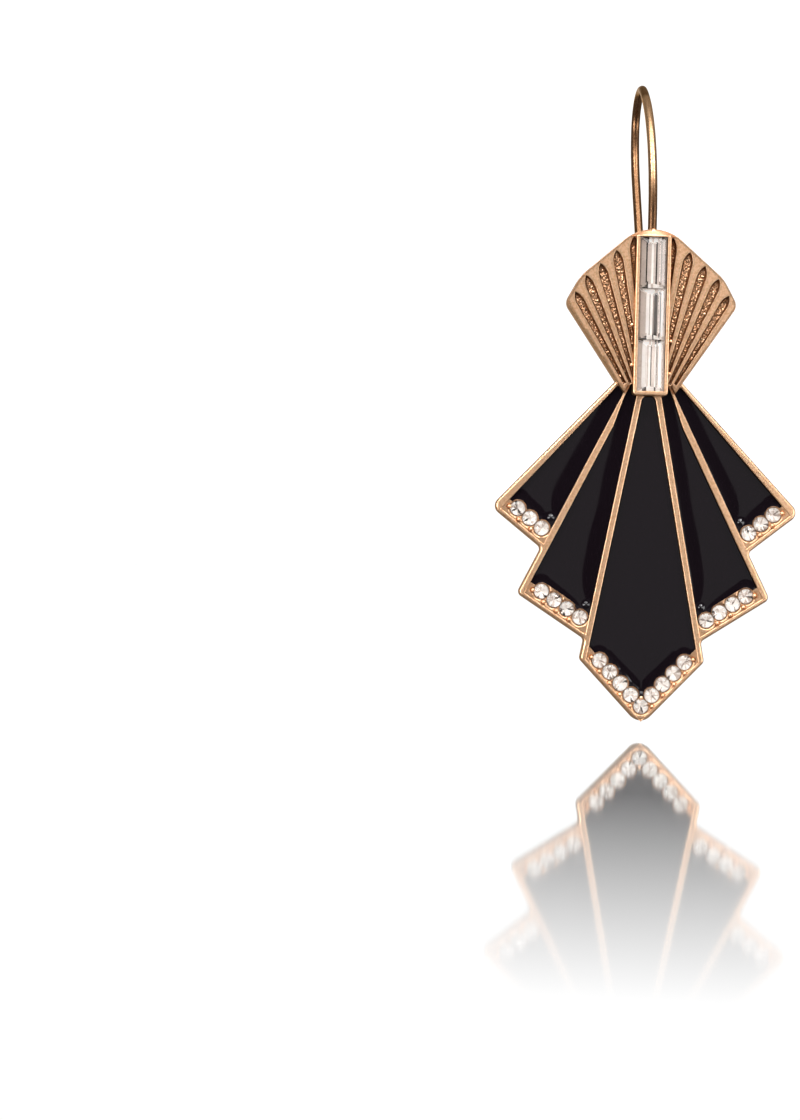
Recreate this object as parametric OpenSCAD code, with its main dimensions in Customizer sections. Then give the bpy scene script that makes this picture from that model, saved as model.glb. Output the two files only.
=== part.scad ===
// Fan drop earring: an open ear hook, a ribbed upper fan with a channel of baguette stones,
// and a lower fan of five enamel panels with rows of round stones along their ends.
// Millimetres. +Z is up, -Y is the front, and the origin is the inside top of the ear hook.
// The fan is drawn in its own frame: x across, z down from the top edge of the upper fan,
// and y measured back from the rim face of the lower fan.

/* [Ear hook] */
// Diameter of the hook's wire
wire_d = 0.9; // [0.7:0.05:1.1]
// Straight length of the front leg above the upper fan
leg_straight = 1.6; // [0.6:0.1:4]
// Radius of the front leg's long curve
leg_r = 16.4; // [12:0.2:22]
// How far the front leg has leaned back where the top bend starts
leg_lean = 62; // [50:1:70]
// Radius of the top bend
bend_r = 3.6; // [2.6:0.1:5]
// Radius of the back leg's curve
back_r = 11.4; // [9:0.2:16]
// How far the back leg turns in towards the fan
back_turn = 28; // [20:1:32]
// Straight length of the back leg
tail_l = 12; // [8:0.5:14]
// Radius of the outward flare at the free end
flare_r = 5; // [4:0.5:8]
// Angle of the outward flare at the free end
flare_turn = 45; // [25:1:60]

/* [Upper fan] */
// Width across the side corners, before rounding
upper_w = 17.2; // [15:0.1:19]
// Height from the top edge to the lower tips
upper_h = 16.35; // [15.6:0.05:18]
// Height of the two lower tips
foot_l = 0.95; // [0.7:0.05:1.2]
// Slope of the shoulders below the level
shoulder_angle = 41; // [37:0.5:45]
// Radius of the rounded top
crest_r = 4.4; // [3:0.1:5.5]
// Radius of the side corners
side_corner_r = 1.1; // [0.4:0.1:1.6]
// How far the upper fan's face stands in front of the rim face
upper_rise = 0.45; // [0.3:0.05:0.8]
// Depth of the grooves between the ribs
groove_depth = 0.35; // [0.15:0.05:0.5]
// Angle between neighbouring grooves
groove_step = 6.05; // [5.6:0.05:6.3]
// Angular width of one groove
groove_angle = 2.9; // [2:0.1:3.6]
// Depth below the lower tips of the point that all grooves aim at
groove_focus = 3.45; // [2.8:0.05:5]
// Length of a groove's pointed end
groove_point = 1.3; // [0.6:0.1:2]

/* [Stone channel] */
// Width of a baguette stone
baguette_w = 2.7; // [2.3:0.05:3]
// Height of the channel's lower end above the upper fan's tips
channel_lift = 0.15; // [0.1:0.05:0.5]
// Thickness of the channel's side walls
channel_wall = 0.35; // [0.25:0.05:0.5]
// Thickness of the channel's end walls
channel_end = 0.42; // [0.3:0.02:0.6]
// Drop from the top edge of the fan to the channel's opening
channel_drop = 0.8; // [0.7:0.05:1.2]
// How far the channel's walls stand in front of the upper fan's face
channel_rise = 0.5; // [0.3:0.05:0.8]
// How far a baguette's table stands in front of the channel's walls
baguette_rise = 0.15; // [0.05:0.05:0.3]
// Height of a baguette's crown
baguette_crown = 0.45; // [0.3:0.05:0.6]
// Depth of a baguette below its girdle
baguette_keel = 0.6; // [0.4:0.05:0.7]

/* [Lower fan] */
// Width across the outer corners, before rounding
lower_w = 31; // [28:0.2:36]
// Height from the waist line to the tip, before rounding
lower_h = 32.87; // [30:0.1:38]
// Drop from the upper fan's tips to the waist line
waist_drop = 0.45; // [0.2:0.05:0.8]
// Thickness of the lower fan's plate
plate_t = 1.5; // [1.3:0.05:2]
// Width of the two ribs beside the centre panel
rib_w = 0.62; // [0.4:0.02:0.8]
// Width of the two outer dividing ribs
divider_w = 0.66; // [0.4:0.02:0.8]
// Width of the rim along the outer sides
rim_w = 0.85; // [0.6:0.05:1]
// Width of the rim along the panels' ends
end_rim_w = 0.45; // [0.3:0.05:0.6]
// Radius of the outer corners
corner_r = 0.9; // [0.3:0.1:1.2]
// Radius of the inner and centre panels' corners
small_corner_r = 0.45; // [0.2:0.05:0.6]
// Radius in the notches between panels
notch_r = 0.5; // [0.1:0.05:0.6]
// Radius of the tip
tip_r = 1.3; // [0.5:0.1:1.6]

/* [Enamel] */
// Depth of the enamel cells below the rim face
cell_depth = 0.7; // [0.5:0.05:0.9]
// How far the enamel's face lies below the rim face
enamel_drop = 0.1; // [0.05:0.01:0.2]

/* [Round stones] */
// Diameter of a round stone
stone_d = 1.48; // [1.3:0.02:1.56]
// Clear gap between neighbouring round stones
stone_gap = 0.07; // [0.04:0.01:0.2]
// Height of a round stone's crown
stone_crown = 0.28; // [0.15:0.01:0.35]
// Depth of a round stone below its girdle
stone_keel = 0.6; // [0.4:0.02:0.7]
// Depth of the stones' ledge below the rim face
ledge_drop = 0.25; // [0.15:0.01:0.35]
// Width of metal round the enamel side of each stone
collar_w = 0.1; // [0.08:0.01:0.14]
// Gap between the stones and the end rim at the centre panel
centre_row_gap = 0.19; // [0.1:0.01:0.3]
// Gap between the stones and the end rim at the inner and outer panels
side_row_gap = 0.34; // [0.15:0.01:0.4]
// Gap between a row's first stone and the rib beside it
row_start_gap = 0.15; // [0.08:0.01:0.3]
// Diameter of the small beads that hold the stones
bead_d = 0.4; // [0.24:0.02:0.44]

/* [Fit] */
// Clearance between neighbouring pieces
fit = 0.04; // [0.02:0.01:0.06]
// Thickness of the hook's socket wall
socket_wall = 0.45; // [0.3:0.05:0.6]
// Depth of the hook's foot in its socket
socket_depth = 2.2; // [1.5:0.1:3]

/* [Hidden] */
$fn = 48;
gold = [0.83, 0.62, 0.43];
black = [0.06, 0.06, 0.07];
clear = [0.88, 0.87, 0.86];
// Segments in each rounded corner of an outline
corner_steps = 8;
// Sides of the wire, and the turn between its rings in a bend
wire_sides = 16;
bend_step = 5;
// Thickness of a stone's girdle and of the flat slices that stones are hulled from
girdle_t = 0.08;
slice_t = 0.01;
// Sides of a bead, and of the enamel's rounded corners
bead_sides = 24;
enamel_sides = 16;
// A cut starts this far in front of the face it is made in
proud = 2;
// Indices of a point's coordinates
X = 0;
Z = 1;

// Lower fan, one row for each panel side from the centre outwards, as shares of half its width
// and of its height: half width at the waist, corner out, corner down, notch down.
WAIST_OUT = 0;
CORNER_OUT = 1;
CORNER_DOWN = 2;
NOTCH_DOWN = 3;
panel_rows = [
    [0.083, 0.403, 0.800, 0.738],
    [0.180, 0.819, 0.604, 0.464],
    [0.313, 1.000, 0.341, 0.000],
];
// Upper fan outline, as shares of half its width and of its height: out and down.
shoulder_out = 0.833;
side_down = 0.454;
foot_out = 0.297;
foot_step_out = 0.250;
// Radius at the shoulder, as a share of half the width
shoulder_r_share = 0.46;
// Angle of the first groove from the axis, in groove steps
first_groove = 0.96;
groove_n = 5;
// Where grooves end, as a share of the upper fan's height
groove_foot_down = 0.945;
// Shape of a groove's pointed end: shares of its half angle and of its length
point_narrow = 0.7;
point_up = 0.6;
// Distance of a groove's point from the outline
groove_margin = 0.25;
// Baguettes in the channel
baguette_n = 3;
// Facet widths of a baguette: lower crown step, upper crown step at the sides and at the ends
step_in = 0.25;
table_side_in = 0.60;
table_end_in = 0.45;
// Share of the crown's height in its lower step
step_share = 0.6;
// Table of a round stone as a share of its diameter
table_share = 0.56;
// The lower fan and its inner and outer cells run up under the upper fan by this much from the
// waist line
tuck = 2.1;
inner_tuck = 1.7;
outer_tuck = 0.8;
// Width of a dividing rib at its top, and the length over which it widens
divider_tip = 0.3;
divider_point = 1.3;
// Drop from the waist line to the centre of the centre panel's rounded top
arch_drop = 0.5;
// Height of the metal between a row's end stones and the walls, as a share of the stone's radius
tie_share = 0.75;
// Free depth below a stone's point
point_room = 0.08;
// The hook's socket and solder bead at the top of the fan
socket_top = 0.05;
solder_d = 0.84;
solder_y = -0.12;
solder_z = -0.28;

// Plane geometry on [x, z] points

function unit(v) = v / norm(v);
function flipped(p) = [-p[X], p[Z]];
function reversed(list) = [for (i = [len(list) - 1:-1:0]) list[i]];
function left_of(line) = let (d = unit(line[1] - line[0])) [-d[Z], d[X]];
function shifted(line, w) = [for (p = line) p + w * left_of(line)];
function cross2(a, b) = a[X] * b[Z] - a[Z] * b[X];
function meet(m, n) =
    let (d = m[1] - m[0], e = n[1] - n[0])
    m[0] + d * cross2(n[0] - m[0], e) / cross2(d, e);
function at_height(line, z) = meet(line, [[0, z], [1, z]]);
function toward(p, q, l) = p + l * unit(q - p);

// Points of an arc about c from p, turned through sweep degrees
function arc_points(c, p, sweep, steps) =
    let (v = p - c)
    [for (i = [0:steps]) let (a = sweep * i / steps)
        c + [v[X] * cos(a) - v[Z] * sin(a), v[X] * sin(a) + v[Z] * cos(a)]];

// The corner q between p and s, rounded to r and kept within half of each side
function round_corner(p, q, s, r) =
    let (
        u = unit(p - q),
        v = unit(s - q),
        half = acos(u * v) / 2,
        back = min(r / tan(half), norm(p - q) / 2.05, norm(s - q) / 2.05),
        centre = q + unit(u + v) * back / cos(half),
        turn = cross2(u, v) > 0 ? -1 : 1
    )
    r == 0 ? [q] : arc_points(centre, q + u * back, turn * (180 - 2 * half), corner_steps);

// A closed outline from corners given as [point, radius]
function rounded(corners) =
    let (n = len(corners))
    [for (i = [0:n - 1])
        each round_corner(corners[(i + n - 1) % n][0], corners[i][0], corners[(i + 1) % n][0],
            corners[i][1])];

function mirrored_corners(corners) = [for (c = reversed(corners)) [flipped(c[0]), c[1]]];

// Lower fan

half_w = lower_w / 2;
waist_z = -(upper_h + waist_drop);
tip = [0, waist_z - lower_h];

function waist_point(i) = [panel_rows[i][WAIST_OUT] * half_w, waist_z];
function corner(i) =
    [panel_rows[i][CORNER_OUT] * half_w, waist_z - panel_rows[i][CORNER_DOWN] * lower_h];
function side(i) = [waist_point(i), corner(i)];
function notch(i) = at_height(side(i), waist_z - panel_rows[i][NOTCH_DOWN] * lower_h);
// The end of panel 0, 1 or 2, from its outer corner inwards
function end_line(i) = [corner(i), i == 0 ? tip : notch(i - 1)];
function inner_end(i) = shifted(end_line(i), -end_rim_w);
// The outer wall of cell 0, 1 or 2
side_widths = [rib_w, divider_w, rim_w];
function cell_wall(i) = shifted(side(i), -side_widths[i]);

lower_corners = [
    [at_height(side(2), waist_z + tuck), 0],
    [corner(2), corner_r],
    [notch(1), notch_r],
    [corner(1), small_corner_r],
    [notch(0), notch_r],
    [corner(0), small_corner_r],
];

module lower_outline()
    polygon(rounded(concat(lower_corners, [[tip, tip_r]], mirrored_corners(lower_corners))));

// The centre cell has a round top between its ribs
module centre_cell() {
    arch_z = waist_z - arch_drop;
    top = at_height(cell_wall(0), arch_z);
    low = meet(cell_wall(0), inner_end(0));
    foot = meet(inner_end(0), [[0, 0], [0, 1]]);
    polygon(concat(arc_points([0, arch_z], top, 180, 2 * corner_steps),
        [flipped(low), foot, low]));
}

// The inner and outer cells of the right half, which run up under the upper fan. The dividing
// rib between them starts as a point.
module side_cell(i) {
    near = side(i - 1);
    wall = cell_wall(i);
    low = [meet(wall, inner_end(i)), meet(near, inner_end(i))];
    top = waist_z + (i == 1 ? inner_tuck : outer_tuck);
    if (i == 1)
        polygon(concat([at_height(near, top), at_height(side(1), top) - [divider_tip, 0],
            waist_point(1) - [divider_tip, 0], at_height(wall, waist_z - divider_point)], low));
    else
        polygon(concat([at_height(near, top), at_height(wall, top)], low));
}

// Rows of round stones

stone_r = stone_d / 2;
pitch = stone_d + stone_gap;
row_gaps = [centre_row_gap, side_row_gap, side_row_gap];
function row_line(i) = shifted(inner_end(i), -(row_gaps[i] + stone_r));
// The first stone of a row: on the axis, or beside the rib
function row_start(i) =
    i == 0 ? meet(row_line(0), [[0, 0], [0, 1]])
        : meet(row_line(i), shifted(side(i - 1), stone_r + row_start_gap));
// The furthest place for a stone's centre, clear of the cell's outer wall
function row_end(i) = meet(row_line(i), shifted(cell_wall(i), -(stone_r + 2 * fit)));
function row_steps(i) = floor(norm(row_end(i) - row_start(i)) / pitch);
function row_centre(i, k) = toward(row_start(i), row_end(i), k * pitch);
function row_centres(i) = [for (k = [0:row_steps(i)]) row_centre(i, k)];

// Beads stand between neighbouring stones on the end rim's side
bead_out = stone_r + fit;
function bead_centres(i) =
    let (out = left_of(inner_end(i)))
    [for (k = [0:row_steps(i)])
        row_centre(i, k + 0.5) + out * bead_out * (k == row_steps(i) ? 0.5 : 1)];

// The ledge that carries a row: a strip along the end rim and a collar round each stone
module ledge(i) {
    line = row_line(i);
    inner = inner_end(i);
    near = i == 0 ? [[0, 0], [0, 1]] : side(i - 1);
    polygon([meet(line, near), meet(line, cell_wall(i)), meet(inner, cell_wall(i)),
        meet(inner, near)]);
    for (c = row_centres(i))
        translate(c) circle(stone_r + collar_w);
    if (i > 0)
        ledge_tie(i, row_start(i), near);
    ledge_tie(i, row_centre(i, row_steps(i)), cell_wall(i));
}

// Metal that runs from the row's first or last stone to the wall beside it
module ledge_tie(i, stone, wall) {
    line = row_line(i);
    raised = shifted(line, -stone_r * tie_share);
    foot = stone - left_of(line) * stone_r * tie_share;
    polygon([stone, foot, meet(raised, wall), meet(line, wall)]);
}

// Upper fan

upper_half = upper_w / 2;
crest = [0, crest_r * (1 / cos(shoulder_angle) - 1)];
shoulder = [shoulder_out * upper_half, crest[Z] - shoulder_out * upper_half * tan(shoulder_angle)];
side_corner = [upper_half, -side_down * upper_h];
foot_tip = [foot_out * upper_half, -upper_h];
foot_step = [foot_step_out * upper_half, foot_l - upper_h];
upper_corners = [
    [shoulder, shoulder_r_share * upper_half],
    [side_corner, side_corner_r],
    [foot_tip, 0],
    [foot_step, 0],
];

module upper_outline()
    polygon(rounded(concat([[crest, crest_r]], upper_corners, mirrored_corners(upper_corners))));

// Grooves aim at one point on the axis and end in a point just inside the outline
focus = [0, -(upper_h + groove_focus)];
function ray(a) = [focus, focus + [sin(a), cos(a)]];
function groove_reach(a) =
    let (
        on_shoulder = meet(ray(a), [crest, shoulder]),
        on_side = meet(ray(a), [shoulder, side_corner]),
        reach = min(norm(on_shoulder - focus), norm(on_side - focus))
    )
    reach - groove_margin / cos(a);
function groove_foot(a) = norm(at_height(ray(a), -groove_foot_down * upper_h) - focus);
function on_ray(a, l) = focus + l * [sin(a), cos(a)];

module groove(a) {
    half = groove_angle / 2;
    end = groove_reach(a);
    neck = end - groove_point;
    cheek = neck + point_up * groove_point;
    foot = groove_foot(a);
    polygon([on_ray(a - half, foot), on_ray(a - half, neck), on_ray(a - point_narrow * half, cheek),
        on_ray(a, end), on_ray(a + point_narrow * half, cheek), on_ray(a + half, neck),
        on_ray(a + half, foot)]);
}

// Stone channel

channel_w = baguette_w + 2 * fit;
channel_top = -channel_drop;
channel_foot = channel_lift - upper_h;
channel_l = channel_top - channel_foot;
channel_outer = channel_w + 2 * channel_wall;

module channel_outline() {
    out = channel_outer / 2;
    right = [[[out, channel_top + channel_end], 0], [[out, channel_foot - channel_end], channel_wall]];
    polygon(rounded(concat(right, mirrored_corners(right))));
}

baguette_l = (channel_l - (baguette_n + 1) * fit) / baguette_n;
channel_face = -(upper_rise + channel_rise);
baguette_table_y = channel_face - baguette_rise;
baguette_girdle_y = baguette_table_y + baguette_crown;
baguette_keel_y = baguette_girdle_y + girdle_t + baguette_keel;

// Solids

// Extrudes an [x, z] outline from depth y0 back to depth y1
module slab(y0, y1)
    translate([0, y1, 0]) rotate([90, 0, 0]) linear_extrude(y1 - y0) children();

// A rod along y from depth y0 back to depth y1
module rod(centre, r, y0, y1)
    translate([centre[X], y0, centre[Z]]) rotate([-90, 0, 0]) cylinder(r = r, h = y1 - y0);

module both_sides() {
    children();
    mirror([1, 0, 0]) children();
}

// Hook route in its own plane: [y, z] points with the heading turned back from straight up

function after_line(p, h, l) = p + l * [sin(h), cos(h)];
function after_right(p, h, r, a) = p + r * [cos(h) - cos(h + a), sin(h + a) - sin(h)];
function after_left(p, h, r, a) = p - r * [cos(h) - cos(h - a), sin(h - a) - sin(h)];

foot_y = (plate_t - upper_rise) / 2 + 0.15;
hook_foot = [foot_y, -socket_depth];
hook_p1 = [foot_y, leg_straight];
hook_p2 = after_right(hook_p1, 0, leg_r, leg_lean);
hook_p3 = after_right(hook_p2, leg_lean, bend_r, 180 - leg_lean);
hook_p4 = after_right(hook_p3, 180, back_r, back_turn);
hook_p5 = after_line(hook_p4, 180 + back_turn, tail_l);
hook_p6 = after_left(hook_p5, 180 + back_turn, flare_r, flare_turn);
// The highest point of the wire's centre line
bend_top = after_right(hook_p2, leg_lean, bend_r, 90 - leg_lean);
// Where the fan's own frame sits in the part's frame
fan_at = [0, -bend_top[0], -(bend_top[1] - wire_d / 2)];

// Stations along the wire: [centre, heading, radius]
wire_r = wire_d / 2;
function right_bend(p, h, r, a) =
    let (n = ceil(a / bend_step))
    [for (i = [0:n]) [after_right(p, h, r, a * i / n), h + a * i / n, wire_r]];
function left_bend(p, h, r, a) =
    let (n = ceil(a / bend_step))
    [for (i = [0:n]) [after_left(p, h, r, a * i / n), h - a * i / n, wire_r]];
function round_end(p, h) =
    [for (a = [15:15:75]) [after_line(p, h, wire_r * sin(a)), h, wire_r * cos(a)]];
function after_first(list) = [for (i = [1:len(list) - 1]) list[i]];

hook_stations = concat(
    [[hook_foot + [0, fit], 0, wire_r]],
    right_bend(hook_p1, 0, leg_r, leg_lean),
    after_first(right_bend(hook_p2, leg_lean, bend_r, 180 - leg_lean)),
    after_first(right_bend(hook_p3, 180, back_r, back_turn)),
    left_bend(hook_p5, 180 + back_turn, flare_r, flare_turn),
    round_end(hook_p6, 180 + back_turn - flare_turn));

function ring(station) =
    let (c = station[0], h = station[1], r = station[2])
    [for (k = [0:wire_sides - 1]) let (a = 360 * k / wire_sides)
        [r * cos(a), c[0] + r * sin(a) * cos(h), c[1] - r * sin(a) * sin(h)]];

// A tube of round rings in the y-z plane, closed at both ends
module swept_wire(stations) {
    n = wire_sides;
    last = len(stations) - 1;
    sides = [for (i = [0:last - 1]) for (k = [0:n - 1])
        [(i + 1) * n + k, (i + 1) * n + (k + 1) % n, i * n + (k + 1) % n, i * n + k]];
    ends = [[for (k = [0:n - 1]) k], [for (k = [n - 1:-1:0]) last * n + k]];
    polyhedron([for (s = stations) each ring(s)], concat(sides, ends));
}

module ear_hook()
    color(gold) translate(fan_at) swept_wire(hook_stations);

// Casting

module cell(i) {
    if (i == 0)
        centre_cell();
    else
        side_cell(i);
}

// What is cut from cell i of the right half for the enamel
module enamel_space(i)
    difference() {
        cell(i);
        upper_outline();
        channel_outline();
        ledge(i);
        if (i == 0)
            mirror([1, 0]) ledge(0);
    }

module ledge_space(i)
    intersection() {
        cell(i);
        ledge(i);
    }

module stone_holes(i)
    for (c = row_centres(i))
        rod(c, stone_r + fit, 0, stone_point_y + point_room);

module beads(i)
    for (c = bead_centres(i))
        translate([c[X], ledge_drop, c[Z]]) sphere(d = bead_d, $fn = bead_sides);

module fan_casting()
    color(gold) translate(fan_at) {
        difference() {
            union() {
                slab(0, plate_t) lower_outline();
                slab(-upper_rise, plate_t) upper_outline();
                slab(channel_face, plate_t) channel_outline();
                translate([0, foot_y, -socket_depth - socket_wall])
                    cylinder(d = wire_d + 2 * socket_wall, h = socket_depth + socket_wall + socket_top);
                translate([0, solder_y, solder_z]) sphere(d = solder_d);
            }
            slab(-proud, cell_depth) enamel_space(0);
            both_sides() {
                slab(-proud, ledge_drop) ledge_space(0);
                for (i = [1, 2]) {
                    slab(-proud, cell_depth) enamel_space(i);
                    slab(-proud, ledge_drop) ledge_space(i);
                    stone_holes(i);
                }
                stone_holes(0);
                slab(-proud, groove_depth - upper_rise)
                    difference() {
                        for (k = [0:groove_n - 1])
                            groove((first_groove + k) * groove_step);
                        channel_outline();
                    }
            }
            slab(channel_face - proud, baguette_keel_y + point_room)
                translate([-channel_w / 2, channel_foot]) square([channel_w, channel_l]);
            translate([0, foot_y, -socket_depth])
                cylinder(d = wire_d + 2 * fit, h = socket_depth + proud);
        }
        both_sides()
            for (i = [0:2])
                beads(i);
    }

// Enamel

module enamel(i)
    color(black) translate(fan_at)
        slab(enamel_drop, cell_depth - fit) offset(r = -fit, $fn = enamel_sides) enamel_space(i);

module enamel_left(i)
    color(black) mirror([1, 0, 0]) enamel(i);

// Stones

// A rectangle of the given inset at depth y, as a thin slice of a baguette
module baguette_slice(side_in, end_in, y, t)
    translate([-baguette_w / 2 + side_in, y, -baguette_l / 2 + end_in])
        cube([baguette_w - 2 * side_in, t, baguette_l - 2 * end_in]);

module baguette(k)
    color(clear) translate(fan_at)
        translate([0, 0, channel_top - fit - baguette_l / 2 - (k - 1) * (baguette_l + fit)])
            hull() {
                baguette_slice(step_in + table_side_in, step_in + table_end_in, baguette_table_y, slice_t);
                baguette_slice(step_in, step_in, baguette_girdle_y - step_share * baguette_crown, slice_t);
                baguette_slice(0, 0, baguette_girdle_y, girdle_t);
                baguette_slice(baguette_w / 2 - step_in, 2 * step_in, baguette_keel_y - slice_t, slice_t);
            }

stone_girdle_y = ledge_drop - girdle_t;
stone_point_y = stone_girdle_y + girdle_t + stone_keel;

// A round stone with its table, crown, girdle and point, its axis along y
module round_stone(centre)
    color(clear) translate(fan_at) translate([centre[X], 0, centre[Z]]) rotate([-90, 0, 0])
        hull() {
            translate([0, 0, stone_girdle_y - stone_crown])
                cylinder(r = stone_r * table_share, h = slice_t, $fn = 8);
            translate([0, 0, stone_girdle_y])
                cylinder(r = stone_r, h = girdle_t, $fn = 16);
            translate([0, 0, stone_point_y - slice_t])
                cylinder(r = girdle_t, h = slice_t, $fn = 8);
        }

arm = row_steps(0);
centre_stones = concat(
    [for (k = [arm:-1:1]) flipped(row_centre(0, k))],
    [for (k = [0:arm]) row_centre(0, k)]);

function numbered(name, n) = [for (k = [1:n]) str(name, "_", k)];

fan_casting();
ear_hook();
enamel(0);  // enamel_centre
enamel_left(1);  // enamel_inner_left
enamel(1);  // enamel_inner_right
enamel_left(2);  // enamel_outer_left
enamel(2);  // enamel_outer_right
for (k = [1:baguette_n])
    baguette(k);
for (k = [1:len(centre_stones)])
    round_stone(centre_stones[k - 1]);
for (k = [0:row_steps(1)]) {
    round_stone(flipped(row_centre(1, k)));
    round_stone(row_centre(1, k));
}
for (k = [0:row_steps(2)]) {
    round_stone(flipped(row_centre(2, k)));
    round_stone(row_centre(2, k));
}
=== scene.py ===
"""Looks of the fan drop earring: its worn gold casting, ear hook, enamel and cut stones.

Shapes are drawn in millimetres in the fan's own frame, as in the part's source: x across, z up
from the top edge of the upper fan, y back from the rim face of the lower fan. Plane points are
complex numbers, x + z j. Shell.make moves a shape into the part's frame, in metres.
"""
import cmath
import math
import random

import bpy
import numpy as np
from mathutils import Matrix, Vector, geometry, noise


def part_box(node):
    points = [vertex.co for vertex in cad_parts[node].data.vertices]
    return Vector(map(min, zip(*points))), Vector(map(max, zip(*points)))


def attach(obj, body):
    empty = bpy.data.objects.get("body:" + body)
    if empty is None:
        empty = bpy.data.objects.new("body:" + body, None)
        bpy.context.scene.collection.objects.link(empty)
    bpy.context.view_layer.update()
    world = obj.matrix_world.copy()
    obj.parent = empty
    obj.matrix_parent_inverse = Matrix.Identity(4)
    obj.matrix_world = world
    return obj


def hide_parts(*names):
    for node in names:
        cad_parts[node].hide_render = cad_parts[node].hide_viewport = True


MM = 0.001
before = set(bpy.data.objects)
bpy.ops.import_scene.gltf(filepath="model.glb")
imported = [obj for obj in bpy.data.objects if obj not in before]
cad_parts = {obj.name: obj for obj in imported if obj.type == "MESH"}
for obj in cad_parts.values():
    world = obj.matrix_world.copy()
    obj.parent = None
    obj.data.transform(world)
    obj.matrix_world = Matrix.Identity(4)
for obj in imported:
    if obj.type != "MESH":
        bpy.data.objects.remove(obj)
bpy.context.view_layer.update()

# Sizes follow the part's source, apart from six that differ: GROOVE_ANGLE, SMALL_CORNER_R,
# OUTER_TUCK, DIVIDER_POINT, TIE_SHARE and CORNER_STEPS

# Upper fan
UPPER_W = 17.2
UPPER_H = 16.35
FOOT_L = 0.95
SHOULDER_ANGLE = 41
CREST_R = 4.4
SIDE_CORNER_R = 1.1
UPPER_RISE = 0.45
GROOVE_DEPTH = 0.35
GROOVE_STEP = 6.05
GROOVE_ANGLE = 3.5
GROOVE_FOCUS = 3.45
GROOVE_POINT = 1.3
GROOVE_N = 5
FIRST_GROOVE = 0.96
GROOVE_FOOT_DOWN = 0.945
GROOVE_MARGIN = 0.25
# Shares of half the width and of the height
SHOULDER_OUT = 0.833
SIDE_DOWN = 0.454
FOOT_OUT = 0.297
FOOT_STEP_OUT = 0.250
SHOULDER_R_SHARE = 0.46

# Stone channel
CHANNEL_WALL = 0.35
CHANNEL_END = 0.42
CHANNEL_DROP = 0.8
CHANNEL_RISE = 0.5
CHANNEL_LIFT = 0.15
BAGUETTE_W = 2.7
BAGUETTE_RISE = 0.15
BAGUETTE_CROWN = 0.45

# Lower fan
LOWER_W = 31
LOWER_H = 32.87
WAIST_DROP = 0.45
PLATE_T = 1.5
RIB_W = 0.62
DIVIDER_W = 0.66
RIM_W = 0.85
END_RIM_W = 0.45
CORNER_R = 0.9
SMALL_CORNER_R = 0.6
NOTCH_R = 0.5
TIP_R = 1.3
TUCK = 2.1
INNER_TUCK = 1.7
OUTER_TUCK = 1.1
DIVIDER_TIP = 0.3
DIVIDER_POINT = 2.9
ARCH_DROP = 0.5
# One row for each panel side: half width at the waist, corner out, corner down, notch down
PANEL_ROWS = [(0.083, 0.403, 0.800, 0.738), (0.180, 0.819, 0.604, 0.464), (0.313, 1.0, 0.341, 0.0)]

# Enamel and stones
ENAMEL_DROP = 0.1
CELL_DEPTH = 0.7
STONE_D = 1.48
STONE_GAP = 0.07
LEDGE_DROP = 0.25
COLLAR_W = 0.1
ROW_GAPS = (0.19, 0.34, 0.34)
ROW_START_GAP = 0.15
BEAD_D = 0.4
TIE_SHARE = 0.15
FIT = 0.04
GIRDLE_T = 0.08

# Ear hook
WIRE_D = 0.9
LEG_STRAIGHT = 1.6
LEG_R = 16.4
LEG_LEAN = 62
BEND_R = 3.6
BACK_R = 11.4
BACK_TURN = 28
TAIL_L = 12
FLARE_R = 5
FLARE_TURN = 45
SOCKET_DEPTH = 2.2
SOCKET_WALL = 0.45
SOLDER_D = 0.84

# Rounding of metal edges: outer outline, pockets, back
OUTER_ROUND = 0.26
POCKET_ROUND = 0.1
BACK_ROUND = 0.2
# Steps along a rounded corner
CORNER_STEPS = 12

# Plane geometry

# A rounded corner takes at most a side's length over this
SIDE_OVER_CORNER = 2.05
# Keeps the mitres of very sharp corners short
MITRE_LIMIT = 0.6
# Stand-in for the square of no length, and how near each other two points count as one
NO_LENGTH, SAME_PLACE = 1e-12, 1e-6


def unit(v):
    return v / abs(v)


def left_of(line):
    return 1j * unit(line[1] - line[0])


def shifted(line, w):
    return tuple(p + w * left_of(line) for p in line)


def cross(a, b):
    return (a.conjugate() * b).imag


def meet(m, n):
    d, e = m[1] - m[0], n[1] - n[0]
    return m[0] + d * cross(n[0] - m[0], e) / cross(d, e)


def at_height(line, z):
    return meet(line, (1j * z, 1 + 1j * z))


def flipped(p):
    return -p.conjugate()


def flipped_loop(loop):
    return [flipped(p) for p in reversed(loop)]


def sin_cos(degrees):
    return math.sin(math.radians(degrees)), math.cos(math.radians(degrees))


def arc_points(c, p, sweep, steps):
    return [c + (p - c) * cmath.exp(1j * math.radians(sweep) * i / steps) for i in range(steps + 1)]


def circle(c, r, steps):
    return [c + r * cmath.exp(2j * math.pi * i / steps) for i in range(steps)]


def round_corner(p, q, s, r):
    """The corner q between p and s, rounded to r and kept within half of each side."""
    if r == 0:
        return [q]
    u, v = unit(p - q), unit(s - q)
    half = math.acos(max(-1, min(1, (u.conjugate() * v).real))) / 2
    back = min(r / math.tan(half), min(abs(p - q), abs(s - q)) / SIDE_OVER_CORNER)
    centre = q + unit(u + v) * back / math.cos(half)
    turn = -1 if cross(u, v) > 0 else 1
    return arc_points(centre, q + u * back, turn * math.degrees(math.pi - 2 * half), CORNER_STEPS)


def rounded(corners):
    """A closed outline from corners given as (point, radius)."""
    points = [c[0] for c in corners]
    n = len(points)
    return [p for i in range(n)
            for p in round_corner(points[i - 1], points[i], points[(i + 1) % n], corners[i][1])]


def mirrored_corners(corners):
    return [(flipped(p), r) for p, r in reversed(corners)]


def area(loop):
    return sum(cross(p, q) for p, q in zip(loop, loop[1:] + loop[:1])) / 2


def anticlockwise(loop):
    return loop if area(loop) > 0 else loop[::-1]


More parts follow.
